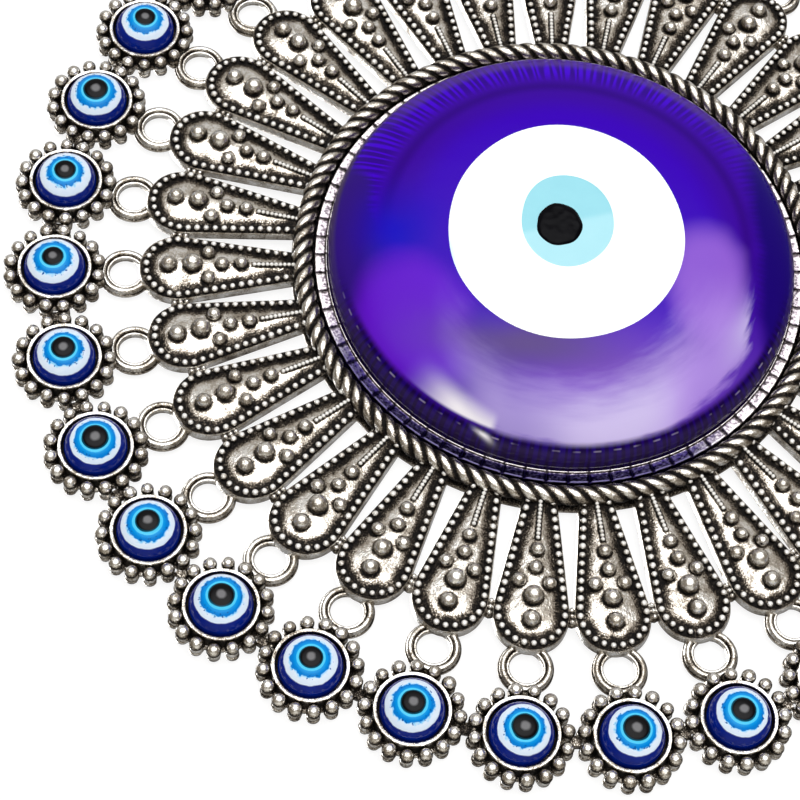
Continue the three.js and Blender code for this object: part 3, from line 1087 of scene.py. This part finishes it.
def node_centre(node):
    low, high = face_box(node)
    return ((low[0] + high[0]) / 2, (low[1] + high[1]) / 2)


def build_layer(name, node, material, waves, lift, depth):
    surface = Surface()
    add_cap(surface, node_centre(node), node_radius(node), layer_outline(waves), lift, depth)
    piece(name, surface.mesh(name, material, sharp=70), stands_for=(node,))


def build_eye_layers():
    white = [(-0.028, 2, 0.3), (0.008, 3, 1.2), (0.002, 7, 0.4)]
    iris = [(-0.075, 2, 0.2), (0.01, 3, 0.1), (0.004, 5, 2.0)]
    pupil = [(-0.04, 2, 0.4), (0.02, 3, 1.0), (0.012, 7, 0.3)]
    build_layer("glass_white", "glass_white_layer", opal_glass(), white, 0.06, 0.4)
    build_layer("glass_iris", "glass_iris_layer", aqua_glass(), iris, 0.1, 0.3)
    build_layer("glass_pupil", "glass_pupil_dot", black_glass(), pupil, 0.5, 0.3)


# ---- small eyes ----
SMALL_EYE_RADIUS = 4.8
SMALL_EYE_EDGE = CUP_RIM - 0.6  # height where its side turns into its dome
SMALL_EYE_TOP = EYE_HIGH[2] - 0.15
PUPIL_LIFT = 0.15  # of the raised drop that is its pupil


def small_eye_mesh(name, material, jitter):
    pupil = jitter.uniform(1.7, 2.1)
    cyan = pupil + jitter.uniform(0.26, 0.4)
    blue = cyan + jitter.uniform(0.5, 0.75)
    white = jitter.uniform(3.8, 4.1)
    shift = jitter.uniform(-0.16, 0.16, 2)
    tilt = np.linspace(0, math.pi / 2, 36)
    radii = SMALL_EYE_RADIUS * np.cos(tilt)
    heights = SMALL_EYE_EDGE + (SMALL_EYE_TOP - SMALL_EYE_EDGE) * np.sin(tilt)
    heights = heights + PUPIL_LIFT * smoothstep(pupil + 0.15, pupil - 0.35, radii)
    dome = [(r, z, 1.0) for r, z in zip(radii[:-1], heights[:-1])]
    surface = Surface()
    surface.revolve([(SMALL_EYE_RADIUS - 0.05, EYE_LOW[2], 1.0), *dome, (0, heights[-1], 1.0)], 64)
    points = np.concatenate(surface.points)
    away = np.hypot(points[:, 0] - shift[0], points[:, 1] - shift[1])
    edges = [0, pupil, cyan, blue, white, SMALL_EYE_RADIUS]
    ring = np.interp(away, edges, np.arange(len(edges)))
    return surface.mesh(name, material, sharp=80, extra={"ring": ring})


def build_small_eyes(material):
    jitter = np.random.default_rng(77)
    for i, node in enumerate(EYES):
        name = f"small_eye_{i + 1:02d}"
        data = small_eye_mesh(name, material, jitter)
        angle = i * STEP
        place = (-CUP_CIRCLE * math.sin(angle), CUP_CIRCLE * math.cos(angle), 0)
        piece(name, data, angle=angle, place=place, stands_for=(node,))


# ---- the hanging ring ----
WIRE_GAP = 0.45  # between the wire's two ends
WIRE_END = 0.35  # length over which each end is rounded


def build_hanging_ring(material):
    """A wire bent into a ring that passes through the lug, its rounded ends meeting at the top."""
    low, high = face_box("hanging_ring")
    wire = (high[2] - low[2]) / 2
    circle = (high[0] - low[0]) / 2 - wire
    centre_y, centre_z = HINGE.z + circle, -HINGE.y
    gap = WIRE_GAP / circle
    share = np.linspace(0, 1, 120)
    turn = (math.pi / 2 + gap / 2 + share * (TAU - gap))[:, None]
    tube = np.linspace(0, TAU, 21)[:-1]
    from_end = np.minimum(share, 1 - share) * circle * TAU
    blunt = 1 - np.clip(1 - from_end / WIRE_END, 0, 1) ** 2 * 0.96
    thick = wire * np.sqrt(blunt)[:, None]
    reach = circle + thick * np.cos(tube)
    y = centre_y + reach * np.sin(turn)
    points = xyz(reach * np.cos(turn), y, centre_z + thick * np.sin(tube))
    surface = Surface()
    surface.grid(points[:, ::-1], 0.9, around=True)
    data = surface.mesh("hanging_wire_ring", material, sharp=60)
    piece("hanging_wire_ring", data, body=HANGING_RING, stands_for=("hanging_ring",))


# ---- stage, light and camera, in metres ----
def only_for_camera(n, shader, front_only):
    """Shows a shader to camera rays only, so that the stage neither shades nor reflects."""
    path = n.new("ShaderNodeLightPath")
    seen = path.outputs["Is Camera Ray"]
    if front_only:
        back = n.new("ShaderNodeNewGeometry").outputs["Backfacing"]
        seen = n.times(seen, n.minus(1.0, back))
    mixer = n.new("ShaderNodeMixShader")
    n.put(mixer.inputs[0], seen)
    n.put(mixer.inputs[1], n.new("ShaderNodeBsdfTransparent").outputs[0])
    n.put(mixer.inputs[2], shader)
    n.put(n.output.inputs["Surface"], mixer.outputs[0])
    return n.material


def stage_paint(name, glow, front_only):
    n = Nodes(name)
    speck = n.noise(0.02, 2.0)
    n.finish(
        Base_Color=n.mix(speck, (0.2, 0.2, 0.2), (0.24, 0.24, 0.24)),
        Roughness=0.9,
        Specular_IOR_Level=0.0,
        Emission_Color=(1.0, 1.0, 1.0),
        Emission_Strength=glow,
    )
    return only_for_camera(n, n.shader.outputs[0], front_only)


STAGE_REACH = 3.0
STAGE_FLOOR = -0.55
WALL_GAP = 0.0008  # from the ornament's back to the stage's wall


def add_plane(name, corners, material):
    data = bpy.data.meshes.new(name)
    data.from_pydata(corners, [], [(0, 1, 2, 3)])
    data.materials.append(material)
    obj = bpy.data.objects.new(name, data)
    scene.collection.objects.link(obj)


def build_stage():
    far, low, back = STAGE_REACH, STAGE_FLOOR, WALL_GAP
    wall = [(-far, back, low), (far, back, low), (far, back, far), (-far, back, far)]
    floor = [(-far, -far, low), (far, -far, low), (far, far, low), (-far, far, low)]
    add_plane("stage_wall", wall, stage_paint("stage_wall_paint", 0.85, True))
    add_plane("stage_floor", floor, stage_paint("stage_floor_paint", 0.75, False))


BACK_LIGHT_WAY = (-0.5, 0.8, 0.35)
BACK_LIGHT_DISTANCE = 0.7
BACK_LIGHT_SIDE = 0.5
BACK_LIGHT_RADIANCE = 5.0


def build_back_light():
    """A square soft light behind the ornament, for views of its back."""
    light = bpy.data.lights.new("back_fill", "AREA")
    light.size = BACK_LIGHT_SIDE
    light.energy = BACK_LIGHT_RADIANCE * math.pi * BACK_LIGHT_SIDE**2
    obj = bpy.data.objects.new("back_fill", light)
    scene.collection.objects.link(obj)
    way = Vector(BACK_LIGHT_WAY).normalized()
    obj.location = way * BACK_LIGHT_DISTANCE
    obj.rotation_euler = (-way).to_track_quat("-Z", "Y").to_euler()


GLOW_WAY = (0.03, -1.0, 0.08)  # where the studio's broad soft glow comes from


def build_world():
    """White to the camera. To the object, a broad soft glow from the front, dim all round it."""
    world = bpy.data.worlds.new("studio")
    scene.world = world
    n = Nodes("studio", owner=world)
    background = n.tree.nodes["Background"]
    direction = n.new("ShaderNodeTexCoord").outputs["Generated"]
    facing = n.new("ShaderNodeVectorMath", operation="DOT_PRODUCT")
    n.put(facing.inputs[0], direction)
    facing.inputs[1].default_value = Vector(GLOW_WAY).normalized()
    glow = n.remap(facing.outputs["Value"], 0.7, 0.985)
    split = n.new("ShaderNodeSeparateXYZ")
    n.put(split.inputs[0], direction)
    behind = n.remap(split.outputs["Y"], 0.0, 0.7)
    above = n.remap(split.outputs["Z"], 0.3, 0.85)
    beneath = n.remap(split.outputs["Z"], -0.55, -0.95)
    dim = n.mix(above, (0.21, 0.18, 0.14), (0.5, 0.48, 0.45))
    dim = n.mix(beneath, dim, (0.7, 0.67, 0.6))
    dim = n.mix(behind, dim, (0.34, 0.34, 0.34))
    seen = n.mix(glow, dim, (3.0, 3.0, 3.0))
    path = n.new("ShaderNodeLightPath")
    shown = n.mix(path.outputs["Is Camera Ray"], seen, (1.0, 1.0, 1.0))
    n.put(background.inputs["Color"], shown)


# The camera's place and aim are measured from the centre of the circle of cups, in its radii.
CAMERA_PLACE = (-0.646, -4.313, -2.614)
CAMERA_AIM = (-0.321, 0.0, -0.323)
CAMERA_ROLL = -0.14  # degrees
CAMERA_LENS = 114.4
CAMERA_SENSOR = 36.0


def build_camera():
    """In front of the ornament, low and a little to the left, looking up at its lower left."""
    centre = Vector((0, -CUP_RIM, 0)) * MM
    radius = CUP_CIRCLE * MM
    data = bpy.data.cameras.new("camera")
    data.sensor_width = CAMERA_SENSOR
    data.lens = CAMERA_LENS
    data.clip_start = 0.01
    data.clip_end = 20.0
    camera = bpy.data.objects.new("camera", data)
    scene.collection.objects.link(camera)
    camera.location = centre + Vector(CAMERA_PLACE) * radius
    aim = centre + Vector(CAMERA_AIM) * radius
    facing = (aim - camera.location).to_track_quat("-Z", "Y").to_matrix().to_4x4()
    roll = Matrix.Rotation(math.radians(CAMERA_ROLL), 4, "Z")
    camera.rotation_euler = (facing @ roll).to_euler()
    scene.camera = camera


def paint_hidden_pad(material):
    """The foam pad keeps its CAD mesh, since the back plate and the glass cover it."""
    pad = frame["nodes"]["adhesive_pad"]
    pad.data.materials.clear()
    pad.data.materials.append(material)


silver = antique_silver()
build_rosette(silver)
build_hub(silver)
build_lug(silver)
build_bezel(silver, polished_strip())
build_back(stamped_plate())
build_glass(cobalt_glass())
build_eye_layers()
build_small_eyes(eye_resin())
build_hanging_ring(wire_steel())
paint_hidden_pad(pad_foam())
build_stage()
build_world()
build_back_light()
build_camera()
scene.view_settings.view_transform = "Standard"
scene.view_settings.look = "None"
